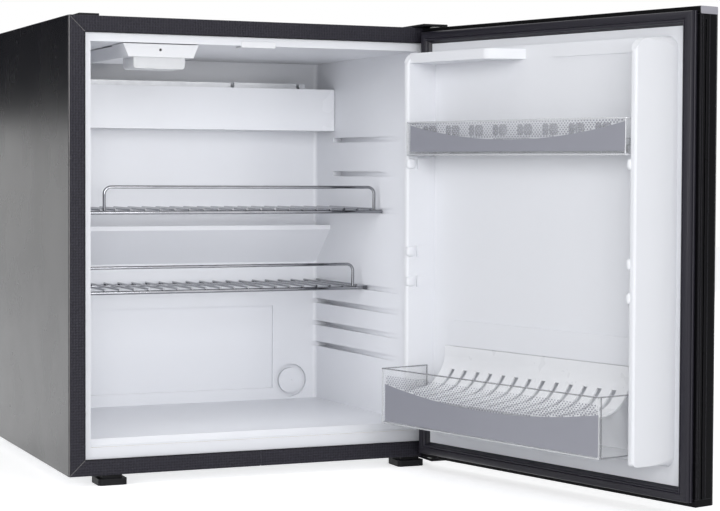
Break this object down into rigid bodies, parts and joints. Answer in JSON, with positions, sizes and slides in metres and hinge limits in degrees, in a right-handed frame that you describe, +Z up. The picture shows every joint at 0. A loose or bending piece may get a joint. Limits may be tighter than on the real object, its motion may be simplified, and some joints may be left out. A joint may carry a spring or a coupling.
{
  "type": "minibar fridge",
  "caption": "Small black hotel minibar fridge with a white lined cavity, wire shelves and an open door that has clear bottle racks.",
  "frame": {"origin": "on the floor, under the middle of the cabinet's front face", "axes": "+X to the right seen from the front, +Y to the back, +Z up"},
  "size_m": [0.6089, 0.9444, 0.575],
  "materials": {
    "black_steel": "satin",
    "bare_steel": "galvanised",
    "unit_black": "matt",
    "black_profile": "textured",
    "black_plastic": "matt",
    "white_liner": "satin",
    "white_gloss": "gloss",
    "foam": "matt",
    "aluminium": "satin",
    "chrome_wire": "polished",
    "zinc": "satin",
    "lamp_lens": "frosted",
    "sensor": "gloss",
    "board": "satin",
    "gasket": "matt",
    "clear_rack": "clear",
    "nylon": "matt"
  },
  "bodies": {
    "cabinet": {"outer_case": "black_steel", "base_pan": "bare_steel", "back_panel": "bare_steel", "frame_top": "black_profile", "frame_left": "black_profile", "frame_right": "black_profile", "frame_bottom_left": "black_profile", "frame_bottom_right": "black_profile", "inner_liner": "white_liner", "cabinet_foam": "foam", "wall_plug": "white_gloss", "evaporator_cover": "white_gloss", "evaporator_block": "aluminium", "evaporator_tube": "bare_steel", "lamp_housing": "white_gloss", "lamp_lens": "lamp_lens", "lamp_sensor": "sensor", "lamp_board": "board", "door_keeper": "white_gloss", "front_left_foot": "black_plastic", "front_right_foot": "black_plastic", "rear_left_foot": "black_plastic", "rear_right_foot": "black_plastic", "upper_hinge_plate": "black_steel", "lower_hinge_plate": "black_steel", "hinge_pins": "zinc", "hinge_screws": "zinc", "hinge_hole_plug": "black_plastic", "absorber_vessel": "unit_black", "absorber_coil": "unit_black", "condenser_tube": "unit_black", "condenser_fins": "unit_black", "boiler_tube": "unit_black", "boiler_jacket": "bare_steel", "heater_cartridge": "zinc", "unit_rails": "bare_steel", "control_box": "black_plastic", "control_board": "board", "mains_inlet": "black_plastic", "drain_tube": "nylon", "drip_tray": "black_plastic"},
    "door": {"door_panel": "black_steel", "door_top_trim": "aluminium", "door_bottom_trim": "aluminium", "door_hinge_stile": "black_profile", "door_free_stile": "black_profile", "door_foam": "foam", "door_liner": "white_liner", "door_gasket": "gasket", "gasket_magnets": "unit_black", "lower_hinge_bush": "nylon", "upper_hinge_bush": "nylon", "bottle_comb": "white_gloss"},
    "upper_shelf": {"upper_shelf": "chrome_wire", "upper_shelf_guard": "chrome_wire"},
    "lower_shelf": {"lower_shelf": "chrome_wire", "lower_shelf_guard": "chrome_wire"},
    "upper_rack": {"upper_rack": "clear_rack"},
    "lower_rack": {"lower_rack": "clear_rack"}
  },
  "joints": [
    {"name": "door_hinge", "type": "hinge", "parent": "cabinet", "child": "door", "pos_m": [0.23, -0.02, 0.29], "axis": [0, 0, 1], "range_deg": [-104.38, 4]},
    {"name": "upper_shelf_slide", "type": "slide", "parent": "cabinet", "child": "upper_shelf", "axis": [0, -1, 0], "range_m": [0, 0.12]},
    {"name": "lower_shelf_slide", "type": "slide", "parent": "cabinet", "child": "lower_shelf", "axis": [0, -1, 0], "range_m": [0, 0.16]},
    {"name": "upper_rack_lift", "type": "slide", "parent": "door", "child": "upper_rack", "axis": [0, 0, 1], "range_m": [0, 0.02]},
    {"name": "lower_rack_lift", "type": "slide", "parent": "door", "child": "lower_rack", "axis": [0, 0, 1], "range_m": [0, 0.02]}
  ]
}
